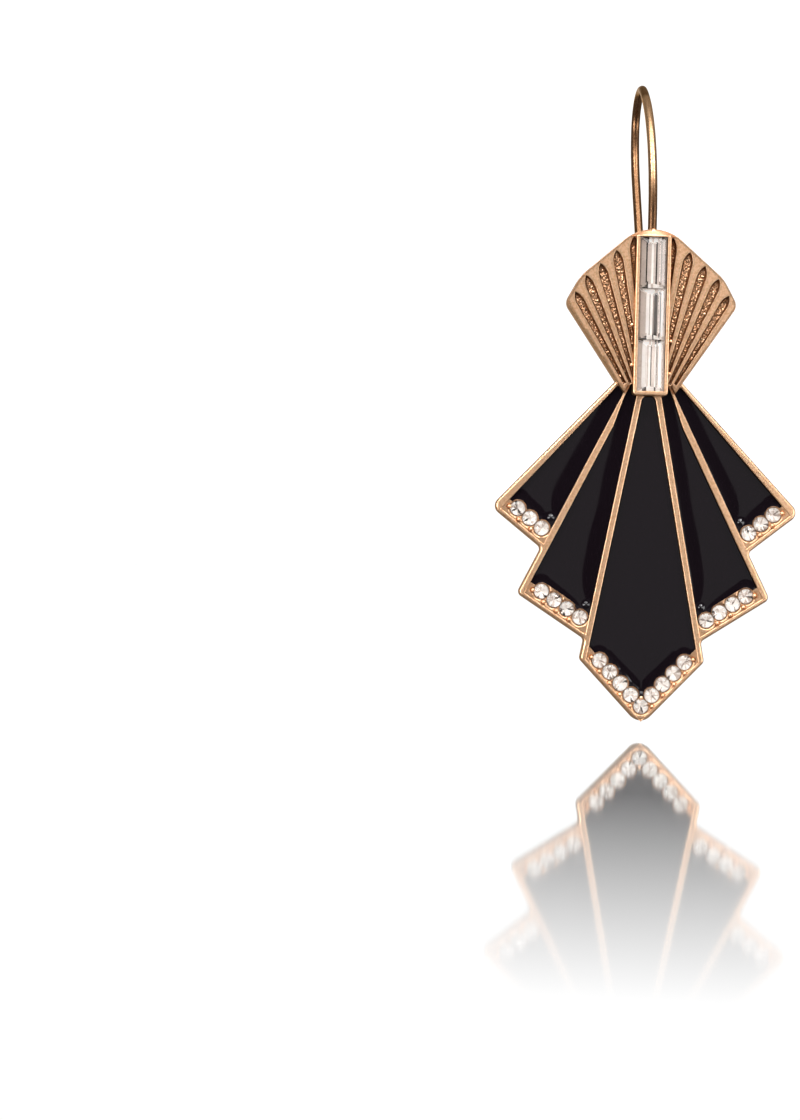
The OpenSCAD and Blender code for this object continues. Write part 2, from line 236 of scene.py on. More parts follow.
def dense(loop, step):
    """The loop with points added so that no side is longer than step."""
    result = []
    for p, q in zip(loop, loop[1:] + loop[:1]):
        n = max(1, math.ceil(abs(q - p) / step))
        result += [p + (q - p) * i / n for i in range(n)]
    return result


def inset(loop, d):
    """The anticlockwise loop moved inwards by d, with mitred corners."""
    points = np.array(loop)
    side = np.roll(points, -1) - points
    out = -1j * side / np.abs(side)
    before = np.roll(out, 1)
    total = before + out
    square = np.maximum(np.abs(total) ** 2, MITRE_LIMIT)
    return list(points - d * 2 * total / square)


def inside(points, loop):
    """Whether each of the points lies inside the loop."""
    points = np.atleast_1d(np.asarray(points))
    result = np.zeros(len(points), bool)
    ring = np.array(loop)
    for a, b in zip(ring, np.roll(ring, -1)):
        spans = (a.imag > points.imag) != (b.imag > points.imag)
        if a.imag != b.imag:
            x = a.real + (points.imag - a.imag) * (b.real - a.real) / (b.imag - a.imag)
            result ^= spans & (points.real < x)
    return result


def inside_any(points, loops):
    """Whether each of the points lies inside one of the loops."""
    result = np.zeros(len(points), bool)
    for loop in loops:
        result |= inside(points, loop)
    return result


def distance(points, loops):
    """Distance from each of the points to the nearest side of the loops."""
    points = np.atleast_1d(np.asarray(points))
    best = np.full(len(points), np.inf)
    for loop in loops:
        ring = np.array(loop)
        for a, b in zip(ring, np.roll(ring, -1)):
            d = b - a
            t = np.clip(((points - a) * d.conjugate()).real / max(abs(d) ** 2, NO_LENGTH), 0, 1)
            best = np.minimum(best, np.abs(points - a - t * d))
    return best


def nearest(points, others):
    """Distance from each of the points to the nearest of the others."""
    return np.min([np.abs(np.array(points) - p) for p in others], axis=0)


def grid_points(loops, step, margin):
    """Points of a triangular grid inside the first loop, outside the others, margin from all."""
    outer = np.array(loops[0])
    xs = np.arange(outer.real.min(), outer.real.max(), step)
    zs = np.arange(outer.imag.min(), outer.imag.max(), step * math.sqrt(3) / 2)
    shift = (np.arange(len(zs)) % 2)[:, None] * step / 2
    points = (xs[None, :] + shift + 1j * zs[:, None]).ravel()
    points = points[inside(points, loops[0]) & ~inside_any(points, loops[1:])]
    return points[distance(points, loops) > margin]


def triangulate(points, loops):
    """Points and triangles of the area between loops, through the free points as well."""
    vertices = [Vector((p.real, p.imag)) for loop in loops for p in loop]
    edges, start = [], 0
    for loop in loops:
        n = len(loop)
        edges += [(start + i, start + (i + 1) % n) for i in range(n)]
        start += n
    vertices += [Vector((p.real, p.imag)) for p in points]
    found, _, faces, origins, _, _ = geometry.delaunay_2d_cdt(vertices, edges, [], 0, SAME_PLACE)
    return np.array([v.x + 1j * v.y for v in found]), np.array(faces), origins


def carve(loops, keep):
    """The largest boundary loop of the area where keep(points) holds, cut along the loops."""
    found, faces, _ = triangulate([], loops)
    faces = faces[keep(found[faces].mean(1))]
    follow = {}
    sides = {(f[i], f[(i + 1) % 3]) for f in faces for i in range(3)}
    for a, b in sides:
        if (b, a) not in sides:
            follow.setdefault(a, []).append(b)
    result = []
    while follow:
        start = a = next(iter(follow))
        ring = []
        while a in follow:
            ring.append(found[a])
            a_next = follow[a].pop()
            if not follow[a]:
                del follow[a]
            a = a_next
            if a == start:
                break
        result.append(ring)
    return anticlockwise([complex(p) for p in max(result, key=lambda ring: abs(area(ring)))])


# Fan outlines

HALF_W = LOWER_W / 2
WAIST_Z = -(UPPER_H + WAIST_DROP)
TIP = 1j * (WAIST_Z - LOWER_H)
AXIS = (0j, 1j)
SIDE_WIDTHS = (RIB_W, DIVIDER_W, RIM_W)


def waist_point(i):
    return PANEL_ROWS[i][0] * HALF_W + 1j * WAIST_Z


def corner(i):
    return PANEL_ROWS[i][1] * HALF_W + 1j * (WAIST_Z - PANEL_ROWS[i][2] * LOWER_H)


def side(i):
    return waist_point(i), corner(i)


def notch(i):
    return at_height(side(i), WAIST_Z - PANEL_ROWS[i][3] * LOWER_H)


def inner_end(i):
    return shifted((corner(i), TIP if i == 0 else notch(i - 1)), -END_RIM_W)


# How much narrower the outer rim is at the waist than at its outer corner
RIM_TAPER = 0.42


def cell_wall(i):
    return shifted(side(i), -SIDE_WIDTHS[i])


def lower_outline():
    corners = [(at_height(side(2), WAIST_Z + TUCK), 0), (corner(2), CORNER_R), (notch(1), NOTCH_R),
               (corner(1), SMALL_CORNER_R), (notch(0), NOTCH_R), (corner(0), SMALL_CORNER_R)]
    return anticlockwise(rounded(corners + [(TIP, TIP_R)] + mirrored_corners(corners)))


def cell(i):
    """Cell 0 is the centre one, 1 and 2 the inner and outer ones of the right half."""
    wall, end = cell_wall(i), inner_end(i)
    if i == 0:
        centre = 1j * (WAIST_Z - ARCH_DROP)
        top = at_height(wall, centre.imag)
        low = meet(wall, end)
        return anticlockwise(arc_points(centre, top, 180, 2 * CORNER_STEPS)
                             + [flipped(low), meet(end, AXIS), low])
    near = side(i - 1)
    top = WAIST_Z + (INNER_TUCK if i == 1 else OUTER_TUCK)
    head = [at_height(near, top)]
    if i == 1:
        head += [at_height(side(1), top) - DIVIDER_TIP, waist_point(1) - DIVIDER_TIP,
                 at_height(wall, WAIST_Z - DIVIDER_POINT)]
    else:
        head.append(at_height(shifted(side(i), RIM_TAPER - SIDE_WIDTHS[i]), top))
    return anticlockwise(head + [meet(wall, end), meet(near, end)])


UPPER_HALF = UPPER_W / 2
CREST = 1j * CREST_R * (1 / math.cos(math.radians(SHOULDER_ANGLE)) - 1)
SHOULDER = complex(SHOULDER_OUT * UPPER_HALF,
                   CREST.imag - SHOULDER_OUT * UPPER_HALF * math.tan(math.radians(SHOULDER_ANGLE)))
SIDE_CORNER = complex(UPPER_HALF, -SIDE_DOWN * UPPER_H)


def upper_outline():
    corners = [(SHOULDER, SHOULDER_R_SHARE * UPPER_HALF), (SIDE_CORNER, SIDE_CORNER_R),
               (complex(FOOT_OUT * UPPER_HALF, -UPPER_H), 0),
               (complex(FOOT_STEP_OUT * UPPER_HALF, FOOT_L - UPPER_H), 0)]
    return anticlockwise(rounded([(CREST, CREST_R)] + corners + mirrored_corners(corners)))


FOCUS = -1j * (UPPER_H + GROOVE_FOCUS)
# A groove's rounded edge reaches past its outline, which stays inside the rim by this much more
TIP_CLEAR = 0.05
# The most that a groove is shortened for this, and the step in which it is
MOST_SHORTER = 0.6
SHORTER_STEP = 0.02


def on_ray(a, length):
    return FOCUS + length * 1j * cmath.exp(-1j * math.radians(a))


def groove(a):
    """A groove at a degrees from the axis, with a pointed upper end just inside the outline."""
    ray = (FOCUS, on_ray(a, 1))
    edges = (CREST, SHOULDER), (SHOULDER, SIDE_CORNER)
    reach = min(abs(meet(ray, edge) - FOCUS) for edge in edges)
    end = reach - GROOVE_MARGIN / math.cos(math.radians(a))
    room = inset(upper_outline(), GROOVE_MARGIN + TIP_CLEAR)
    for shorter in np.arange(0, MOST_SHORTER, SHORTER_STEP):
        loop = groove_outline(a, end - shorter)
        # The first two and last two points are its foot and neck
        if inside(loop[2:-2], room).all():
            break
    return loop


def groove_outline(a, end):
    neck = end - GROOVE_POINT
    foot = abs(at_height((FOCUS, on_ray(a, 1)), -GROOVE_FOOT_DOWN * UPPER_H) - FOCUS)
    half = GROOVE_ANGLE / 2
    # Share of the half width at each share of the pointed end's length
    point = [(0, 1), (0.3, 0.93), (0.6, 0.7), (0.85, 0.36)]
    right = [on_ray(a + half * w, neck + t * GROOVE_POINT) for t, w in point]
    left = [on_ray(a - half * w, neck + t * GROOVE_POINT) for t, w in point]
    return anticlockwise([on_ray(a + half, foot)] + right + [on_ray(a, end)] + left[::-1]
                         + [on_ray(a - half, foot)])


CHANNEL_W = BAGUETTE_W + 2 * FIT
CHANNEL_TOP = -CHANNEL_DROP
CHANNEL_FOOT = CHANNEL_LIFT - UPPER_H
CHANNEL_FACE = -(UPPER_RISE + CHANNEL_RISE)
CHANNEL_CORNER_R = 0.1


def channel_outline(grow=0.0, end=CHANNEL_END):
    out = CHANNEL_W / 2 + CHANNEL_WALL + grow
    right = [(complex(out, CHANNEL_TOP + end + grow), CHANNEL_CORNER_R),
             (complex(out, CHANNEL_FOOT - CHANNEL_END - grow), CHANNEL_WALL)]
    return anticlockwise(rounded(right + mirrored_corners(right)))


def channel_hole():
    half = CHANNEL_W / 2
    return [complex(x, z) for x, z in ((-half, CHANNEL_FOOT), (half, CHANNEL_FOOT),
                                       (half, CHANNEL_TOP), (-half, CHANNEL_TOP))]


# Rows of round stones

STONE_R = STONE_D / 2
PITCH = STONE_D + STONE_GAP


def row_line(i):
    return shifted(inner_end(i), -(ROW_GAPS[i] + STONE_R))


def row_start(i):
    if i == 0:
        return meet(row_line(0), AXIS)
    return meet(row_line(i), shifted(side(i - 1), STONE_R + ROW_START_GAP))


def row_centres(i):
    start = row_start(i)
    end = meet(row_line(i), shifted(cell_wall(i), -(STONE_R + 2 * FIT)))
    return [start + unit(end - start) * k * PITCH for k in range(int(abs(end - start) / PITCH) + 1)]


def row_stones(i):
    """The middles of a row's stones, in the centre cell of both its halves."""
    centres = row_centres(i)
    return centres + [flipped(c) for c in centres[1:]] if i == 0 else centres


def bead_centres(i):
    centres = row_centres(i)
    along = unit(centres[1] - centres[0]) * PITCH / 2
    out = left_of(inner_end(i)) * (STONE_R + FIT)
    return [c + along + out * (0.5 if c == centres[-1] else 1) for c in centres]


def ledge_loops(i):
    """The outlines that the metal under a row of stones is made of."""
    line, inner, wall = row_line(i), inner_end(i), cell_wall(i)
    near = AXIS if i == 0 else side(i - 1)
    centres = row_centres(i)
    raised = shifted(line, -STONE_R * TIE_SHARE)

    def tie(stone, edge):
        foot = stone - left_of(line) * STONE_R * TIE_SHARE
        return [stone, foot, meet(raised, edge), meet(line, edge)]

    strip = [meet(line, near), meet(line, wall), meet(inner, wall), meet(inner, near)]
    ties = [tie(centres[-1], wall)] + ([tie(centres[0], near)] if i > 0 else [])
    return [strip] + ties + [circle(c, STONE_R + COLLAR_W, steps=40) for c in centres]


def enamel_outline(i):
    """The outline of the enamel in cell i of the right half."""
    blocks = ledge_loops(i) + [upper_outline(), channel_outline()]
    if i == 0:
        blocks += [flipped_loop(loop) for loop in ledge_loops(0)]
    space = cell(i)
    return carve([space] + blocks, lambda p: inside(p, space) & ~inside_any(p, blocks))


# Meshes

FAN_AT = Vector((0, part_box("enamel_centre")[0].y / MM - ENAMEL_DROP,
                 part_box("baguette_1")[1].z / MM + CHANNEL_DROP + FIT))


def wave(x, y, z, size, seed):
    """Smooth noise from -1 to 1 whose bumps are about size millimetres wide."""
    return noise.noise(Vector((x / size + seed, y / size, z / size - seed)))


def placed(name, data):
    """A new object in the scene."""
    made = bpy.data.objects.new(name, data)
    bpy.context.scene.collection.objects.link(made)
    return made


# Triangles of less than half this many square millimetres are left out
SLIVER = 0.0001
# A sphere ends in a ring of this share of its radius, and the dark at its foot, painted shade,
# starts behind this share
POLE, FRONT = 0.02, 0.3


class Shell:
    """Collects points and faces, with a share of dark patina and painted shade at each point."""

    def __init__(self):
        self.points, self.patina, self.faces = [], [], []

    def add(self, points, patina=0.0):
        start = len(self.points)
        self.points += [tuple(p) for p in points]
        self.patina += [patina] * len(points) if np.isscalar(patina) else list(patina)
        return list(range(start, len(self.points)))

    def ring(self, loop, y, patina=0.0):
        """Points of a loop at depth y, or each at its own."""
        depths = np.broadcast_to(y, len(loop))
        return self.add([(p.real, depth, p.imag) for p, depth in zip(loop, depths)], patina)

    def plane(self, ring):
        """The plane points of a ring."""
        return [complex(self.points[k][0], self.points[k][2]) for k in ring]

    def band(self, a, b):
        """Quads between two rings of as many points, b being further in or further forward."""
        for i in range(len(a)):
            j = (i + 1) % len(a)
            self.faces.append((a[i], a[j], b[j], b[i]))

    def bands(self, rings, hollow=False):
        """Bands from each ring to the next, facing outwards or into a hollow."""
        for a, b in zip(rings, rings[1:]):
            self.band(*((b, a) if hollow else (a, b)))

    def steps(self, loop, profile, hollow=False):
        """Rings of the loop at (inset, y, patina and painted shade) steps, joined by bands. Returns
        the last one.
        """
        rings = [self.ring(inset(loop, d), y, patina) for d, y, patina in profile]
        self.bands(rings, hollow)
        return rings[-1]

    def fill(self, rings, free=(), height=(), patina=0.0, back=False):
        """Triangles between rings, through free points at the given heights."""
        loops = [self.plane(ring) for ring in rings]
        known = [k for ring in rings for k in ring]
        found, faces, origins = triangulate(free, loops)
        centres = found[faces].mean(1)
        a, b, c = found[faces].T
        keep = inside(centres, loops[0]) & ~inside_any(centres, loops[1:])
        keep &= cross(b - a, c - a) > SLIVER
        numbers = known + self.ring(free, height, patina)
        index = [numbers[same[0]] if same else self.crossing(p, known)
                 for p, same in zip(found, origins)]
        for f in faces[keep]:
            face = tuple(index[k] for k in f)
            self.faces.append(face[::-1] if back else face)

    def crossing(self, p, known):
        """A new point at p, where two outlines cross, like the nearest known one."""
        near = min(known, key=lambda k: abs(self.plane([k])[0] - p))
        return self.add([(p.real, self.points[near][1], p.imag)], self.patina[near])[0]

    def clear(self, first, loop):
        """Takes out the faces from number first on whose middle lies inside the loop."""
        middles = [np.mean(self.plane(f)) for f in self.faces[first:]]
        self.faces[first:] = [f for f, hidden in zip(self.faces[first:], inside(middles, loop))
                              if not hidden]

    def sphere(self, centre, r, patina=0.0, rings=8, sides=14, squash=1.0):
        x, y, z = centre
        made = []
        for i in range(rings + 1):
            a = math.pi * i / rings
            s, c = max(math.sin(a), POLE), math.cos(a)
            made.append(self.ring(circle(complex(x, z), r * s, sides), y - r * c * squash,
                                  patina if c < FRONT else 0.0))
        self.bands(made, hollow=True)

    def make(self, name, materials, mirrored=False, sharp=40, picks=None):
        sign = -1 if mirrored else 1
        points = [((sign * x + FAN_AT.x) * MM, (y + FAN_AT.y) * MM, (z + FAN_AT.z) * MM)
                  for x, y, z in self.points]
        faces = [f[::-1] for f in self.faces] if mirrored else self.faces
        mesh = bpy.data.meshes.new(name)
        mesh.from_pydata(points, [], faces)
        mesh.validate()
        layer = mesh.attributes.new("patina", "FLOAT", "POINT")
        layer.data.foreach_set("value", np.array(self.patina, np.float32))
        for material in materials:
            mesh.materials.append(material)
        if picks is not None:
            mesh.polygons.foreach_set("material_index", picks)
        mesh.shade_smooth()
        mesh.set_sharp_from_angle(angle=math.radians(sharp))
        made = placed(name, mesh)
        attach(made, "root")
        return made


# The patina and painted shade fade round an edge as this power of the way, and a flat lip follows
# the turn
FADE_POWER, LIP = 0.6, 0.03
# The way from a face's edge to its full unevenness
LEVEL_W = 0.8


def rounding(y, r, patina=(0.0, 0.0), steps=4):
    """Steps (inset, y, patina and painted shade) round a quarter turn from a wall to a face at
    depth y.
    """
    result = []
    for k in range(steps + 1):
        a = math.pi / 2 * k / steps
        p = patina[0] + (patina[1] - patina[0]) * (k / steps) ** FADE_POWER
        result.append((r * (1 - math.cos(a)), y + r * (1 - math.sin(a)), p))
    result.append((r + LIP, y, patina[1]))
    return result


def hole_rounding(*turn):
    """The same steps round the edge of a hole."""
    return [(-d, y, p) for d, y, p in rounding(*turn)]


def metal_height(points, y, loops, amount=0.006, size=1.6):
    """A slightly uneven face at depth y, level along the loops."""
    reach = np.minimum(1, distance(points, loops) / LEVEL_W)
    return [y + amount * r * wave(p.real, y, p.imag, size, seed=3.0) for p, r in zip(points, reach)]


# Materials


def feed(socket, value):
    """Links a socket to another one, or gives it a value."""
    if isinstance(value, bpy.types.NodeSocket):
        socket.id_data.links.new(value, socket)
    elif isinstance(value, tuple):
        socket.default_value = (*value, 1)
    else:
        socket.default_value = value


def set_inputs(node, **inputs):
    for key, value in inputs.items():
        feed(node.inputs[key.replace("_", " ")], value)
    return node


def add_node(material, kind, **inputs):
    """A new node in the tree of a material or of the world."""
    return set_inputs(material.node_tree.nodes.new("ShaderNode" + kind), **inputs)


def principled(name, color, **values):
    material = bpy.data.materials.new(name)
    material.use_nodes = True
    shader = material.node_tree.nodes["Principled BSDF"]
    return material, set_inputs(shader, Base_Color=color, **values)


def noise_node(material, scale, detail, rough=0.6):
    place = add_node(material, "TexCoord").outputs["Object"]
    return add_node(material, "TexNoise", Vector=place, Scale=scale, Detail=detail,
                    Roughness=rough).outputs["Fac"]


def ramp(material, source, stops):
    """A colour ramp of source with (place, colour) stops."""
    node = add_node(material, "ValToRGB", Fac=source)
    elements = node.color_ramp.elements
    while len(elements) < len(stops):
        elements.new(0.5)
    for element, (place, color) in zip(elements, stops):
        element.position = place
        element.color = (*color, 1)
    return node.outputs["Color"]


def mix_color(material, factor, a, b, mode="MIX"):
    node = add_node(material, "Mix")
    node.data_type = "RGBA"
    node.blend_type = mode
    for k, value in ((0, factor), (6, a), (7, b)):
        feed(node.inputs[k], value)
    return node.outputs[2]


def map_range(material, source, low, high, to_low, to_high):
    return add_node(material, "MapRange", Value=source, From_Min=low, From_Max=high,
                    To_Min=to_low, To_Max=to_high).outputs["Result"]


def add_bump(material, shader, source, strength, depth):
    bump = add_node(material, "Bump", Strength=strength, Distance=depth, Height=source)
    set_inputs(shader, Normal=bump.outputs["Normal"])


def vary_roughness(material, shader, source, low, high):
    """Roughness from low to high along the middle part of a noise."""
    set_inputs(shader, Roughness=map_range(material, source, 0.3, 0.7, low, high))


# How much of the patina and painted shade the specks wear away
WEAR = 0.35


def worn_gold(name, light, deep, dark, rough, grain):
    """Antique gold: mottled light and deep gold, dark with the patina and painted shade of its
    attribute.
    """
    material, shader = principled(name, light, Metallic=1.0)
    mottle = noise_node(material, scale=4200, detail=6, rough=0.75)
    speck = noise_node(material, scale=11000, detail=3, rough=0.7)
    tone = ramp(material, mottle, [(0.44, light), (0.62, deep)])
    patina = add_node(material, "Attribute")
    patina.attribute_name = "patina"
    worn = map_range(material, speck, 0.35, 0.7, 0.0, 1.0)
    amount = mix_color(material, WEAR, patina.outputs["Fac"], worn, "MULTIPLY")
    color = mix_color(material, amount, tone, dark)
    set_inputs(shader, Base_Color=color, Specular_Tint=(1.0, 0.78, 0.55))
    vary_roughness(material, shader, mottle, rough, rough + 0.14)
    add_bump(material, shader, speck, strength=grain, depth=0.00003)
    return material


# The dark colour is that of the patina and of the painted shade
GOLD = worn_gold("worn_gold", light=(1.0, 0.64, 0.40), deep=(0.80, 0.45, 0.24),
                 dark=(0.09, 0.028, 0.005), rough=0.34, grain=0.35)
# A darker copy of the worn gold for the hook: painted shade over the whole wire
WIRE_GOLD_SHADED = worn_gold("wire_gold_painted_shade", light=(0.69, 0.43, 0.24), deep=(0.44, 0.25, 0.125),
                      dark=(0.07, 0.022, 0.007), rough=0.24, grain=0.2)


def black_enamel():
    material, shader = principled("black_enamel", (0.0035, 0.002, 0.0032), Roughness=0.04, IOR=1.45)
    cloud = noise_node(material, scale=500, detail=3)
    vary_roughness(material, shader, cloud, 0.03, 0.08)
    add_bump(material, shader, cloud, strength=0.04, depth=0.00004)
    return material


def foil(name, light, deep, metal, rough):
    """The backing of a stone's lower facets, a little cloudy, and in part a mirror."""
    material, shader = principled(name, light, Metallic=metal)
    cloud = noise_node(material, scale=1800, detail=2)
    set_inputs(shader, Base_Color=ramp(material, cloud, [(0.35, light), (0.7, deep)]))
    vary_roughness(material, shader, cloud, rough, rough + 0.1)
    return material


ENAMEL = black_enamel()
CRYSTAL = principled("crystal", (0.97, 0.955, 0.94), Roughness=0.0, IOR=1.55,
                     Transmission_Weight=1.0)[0]
# Four foils in painted tones, set facet by facet in place of reflections: the bright and pale ones
# painted light, the soft and dark ones painted shade
PAINTED_FOILS = (foil("painted_bright_foil", (1.0, 0.96, 0.92), (0.94, 0.88, 0.83), metal=0.0, rough=0.3),
         foil("painted_pale_foil", (0.70, 0.60, 0.54), (0.60, 0.51, 0.45), metal=0.1, rough=0.25),
         foil("painted_soft_foil", (0.40, 0.32, 0.28), (0.30, 0.24, 0.20), metal=0.3, rough=0.25),
         foil("painted_dark_foil", (0.04, 0.03, 0.027), (0.025, 0.02, 0.016), metal=0.5, rough=0.25))
# Their places among a stone's materials
PAINTED_BRIGHT, PAINTED_PALE, PAINTED_SOFT, PAINTED_DARK = 1, 2, 3, 4

# Casting


def lower_fan(shell):
    """The plate with its rounded rim and ribs round five cells."""
    outline = dense(lower_outline(), step=0.5)
    cells = [dense(cell(i), step=0.4) for i in range(3)]
    cells += [flipped_loop(loop) for loop in cells[1:]]
    # Painted shade: dark down the outer side and round the outer edge, fading to none on the face
    tops = [shell.steps(outline, [(0, PLATE_T - BACK_ROUND, 0.8)]
                        + rounding(0, OUTER_ROUND, (0.95, 0.0), steps=5))]
    for loop in cells:
        # Painted shade down each cell's wall and round its edge
        wall = [(0, 0.5, 1.0), (0, POCKET_ROUND + 0.03, 1.0)]
        edge = hole_rounding(0, POCKET_ROUND, (0.9, 0.0))
        tops.append(shell.steps(loop, wall + edge, hollow=True))
    loops = [shell.plane(ring) for ring in tops]
    free = grid_points(loops, step=0.3, margin=0.12)
    shell.fill(tops, free, metal_height(free, 0, loops))
    back_face(shell, outline)


def back_face(shell, outline):
    turn = [(d, 2 * PLATE_T - y, p) for d, y, p in rounding(PLATE_T, BACK_ROUND)]
    edge = shell.steps(outline, turn)
    loop = shell.plane(edge)
    free = grid_points([loop], step=0.7, margin=0.3)
    height = metal_height(free, PLATE_T, [loop], amount=0.03, size=2.5)
    shell.fill([edge], free, height, 0.15, back=True)


# Metal beside the stones: its rise, its slopes from a seat and to a bead, and how far the painted
# shade at their feet reaches
LEDGE_RISE = 0.18
SEAT_MARGIN, SEAT_SLOPE, SEAT_SHADE_REACH = 0.04, 0.16, 0.07
BEAD_SLOPE, BEAD_SHADE_REACH = 0.1, 0.05
SEAT_DEPTH = 0.3
LEDGE_OVERLAP = 0.05
BEAD_SINK = 0.2


def stone_ledges(shell):
    """The metal beside the stones: it rises from their seats to just under the rim."""
    for i in range(3):
        floor = ledge_floor(i)
        for left in [False] if i == 0 else [False, True]:
            outline = dense(flipped_loop(floor) if left else floor, step=0.15)
            seats = [flipped(c) if left else c for c in row_stones(i)]
            near_beads = [f(c) for c in bead_centres(i) for f in (complex, flipped)]

            def surface(points):
                gap = nearest(points, seats) - STONE_R
                to_bead = nearest(points, near_beads) - BEAD_D / 2
                rise = np.clip((gap - SEAT_MARGIN) / SEAT_SLOPE, 0, 1)
                rise *= np.clip(to_bead / BEAD_SLOPE, 0.3, 1)
                # Painted shade: a dark tone over the ledge, darkest at the seats of the stones and
                # at the feet of the beads
                dark = 0.3 + 0.7 * np.exp(-np.maximum(gap, 0) / SEAT_SHADE_REACH)
                dark += 0.7 * np.exp(-np.maximum(to_bead, 0) / BEAD_SHADE_REACH)
                return LEDGE_DROP - LEDGE_RISE * rise, np.minimum(dark, 1)

            height, patina = surface(outline)
            rings = [shell.ring(outline, height, patina)]
            bounds = [outline]
            for c in seats:
                seat = circle(c, STONE_R + FIT, steps=28)
                # Painted shade down into each seat
                low = shell.ring(seat, LEDGE_DROP + SEAT_DEPTH, 1.0)
                top = shell.ring(seat, LEDGE_DROP, 0.8)
                shell.band(top, low)
                rings.append(top)
                bounds.append(seat)
            free = grid_points(bounds, step=0.1, margin=0.04)
            shell.fill(rings, free, *surface(free))


def ledge_floor(i):
    """The outline of the ledge in cell i, grown a little into the walls and under the enamel."""
    loops = ledge_loops(i)
    if i == 0:
        loops = loops + [flipped_loop(loop) for loop in loops]
    grown = [inset(anticlockwise(loop), -LEDGE_OVERLAP) for loop in loops]
    return carve(grown, lambda p: inside_any(p, grown))


def beads(shell):
    y = LEDGE_DROP - BEAD_SINK
    for i in range(3):
        for c in bead_centres(i):
            for p in (c, flipped(c)):
                shell.sphere((p.real, y, p.imag), BEAD_D / 2, squash=1.15)
    shell.sphere((0, y, row_start(0).imag + STONE_R + 0.12), BEAD_D / 2)


# Smaller than on the lower fan, so that the groove tips stay clear of the rim
UPPER_ROUND, GROOVE_ROUND = 0.07, 0.05
# How far the upper face and the grooves reach under the channel's walls
FACE_UNDER, GROOVE_UNDER = 0.12, 0.06


def upper_fan(shell):
    """The raised ribbed plate, with granular groove floors."""
    outline = dense(upper_outline(), step=0.35)
    hole = channel_outline(-FACE_UNDER)
    first = len(shell.faces)
    # Painted shade: dark down the outer side and round the outer edge, with some left on the face
    # beside it
    rim = shell.steps(outline, [(0, PLATE_T - BACK_ROUND, 0.8)]
                      + rounding(-UPPER_RISE, UPPER_ROUND, (1.0, 0.75)))
    shell.clear(first, hole)
    back_face(shell, outline)
    # Painted shade round the foot of the channel's walls
    tops = [rim, shell.ring(dense(hole, step=0.4), -UPPER_RISE, 0.4)]
    for k in range(GROOVE_N):
        loop = groove((FIRST_GROOVE + k) * GROOVE_STEP)
        for half in (loop, flipped_loop(loop)):
            # The innermost grooves are darker all over
            tops.append(ribbed_groove(shell, dense(half, step=0.25), 0.35 if k == 0 else 0.0))
    loops = [shell.plane(ring) for ring in tops]
    free = grid_points(loops, step=0.25, margin=0.08)
    shell.fill(tops, free, metal_height(free, -UPPER_RISE, loops, amount=0.015, size=1.2))


# Depth of a groove's floor, and how high its grains rise
BED_Y = GROOVE_DEPTH - UPPER_RISE
GRAIN_RISE = 0.12


def ribbed_groove(shell, loop, darkness):
    """A groove's rounded edge, wall and granular floor. Returns the ring at the upper face."""
    walls = channel_outline(-GROOVE_UNDER)
    loop = carve([loop, walls], lambda p: inside(p, loop) & ~inside(p, walls))
    # Dark down the walls and round the edges: patina in the hollow, and painted shade on the
    # rounded edge
    foot = (0.11, BED_Y + 0.02, 1.0)
    low = [foot, (0.05, BED_Y - 0.06, 1.0), (0, -UPPER_RISE + 0.11, 1.0)]
    top = shell.steps(loop, low + hole_rounding(-UPPER_RISE, GROOVE_ROUND, (1.0, 0.3)), hollow=True)
    start = shell.steps(loop, [foot])
    free = grid_points([shell.plane(start)], step=0.075, margin=0.03)
    height, patina = [], []
    for p in free:
        grain = wave(p.real, 0, p.imag, size=0.17, seed=7.0)
        grain += 0.6 * wave(p.real, 2, p.imag, size=0.09, seed=5.0)
        height.append(BED_Y - GRAIN_RISE * max(grain, -0.4))
        patina.append(max(0.0, min(1.0, 1.35 + darkness - 3.0 * grain)))
    shell.fill([start], free, height, patina)
    return top


# Small beads of solder beside the channel
SOLDER_BEADS = ((1.95, -11.15), (1.88, -14.4), (-1.98, -9.6), (-1.9, -13.6))


def channel(shell):
    """The walls round the baguettes."""
    outline = dense(channel_outline(end=0.16), step=0.4)
    # Painted shade down the channel's walls, outside and inside, and round their edges
    outer = shell.steps(outline, [(0, 0.1, 0.9), (0, -UPPER_RISE + 0.05, 1.0)]
                        + rounding(CHANNEL_FACE, 0.13, (0.2, 0.0)))
    hole = dense(channel_hole(), step=0.4)
    inner = shell.steps(hole, [(0, -0.1, 1.0), (0, CHANNEL_FACE + 0.1, 0.9)]
                        + hole_rounding(CHANNEL_FACE, 0.06, (0.3, 0.0)), hollow=True)
    shell.fill([outer, inner])
    # A dark sheet at the channel's back behind the baguettes: painted shade
    shell.fill([shell.ring(dense(channel_hole(), step=1.0), -0.03, 1.0)])
    crest_ramp(shell)
    for x, z in SOLDER_BEADS:
        shell.sphere((x, -UPPER_RISE - 0.05, z), 0.2, 0.5)


# The ramp's reach to each side of the channel, where it starts to fade, and over what width
RAMP_OUT, FADE_IN, FADE_W = 0.75, 0.25, 0.95
RAMP_STEEP = 1.12


def crest_ramp(shell):
    """The smooth band that rises from the crest's outline to the upper end of the channel."""
    half, across, down = CHANNEL_W / 2 + CHANNEL_WALL, 28, 8
    rows = []
    for i in range(across + 1):
        x = (2 * i / across - 1) * (half + RAMP_OUT)
        top = math.sqrt((CREST_R - 0.1) ** 2 - x * x) - CREST_R
        fade = min(1, max(0, (abs(x) - half + FADE_IN) / FADE_W))
        lift = 1 - fade * fade * (3 - 2 * fade)
        points = []
        for j in range(down + 1):
            t = j / down
            rise = (CHANNEL_FACE + UPPER_RISE) * lift * min(1, RAMP_STEEP * t)
            points.append((x, -UPPER_RISE + 0.03 + rise, top + t * (CHANNEL_TOP + 0.06 - top)))
        rows.append(shell.add(points))
    for a, b in zip(rows, rows[1:]):
        for j in range(down):
            shell.faces.append((a[j], a[j + 1], b[j + 1], b[j]))


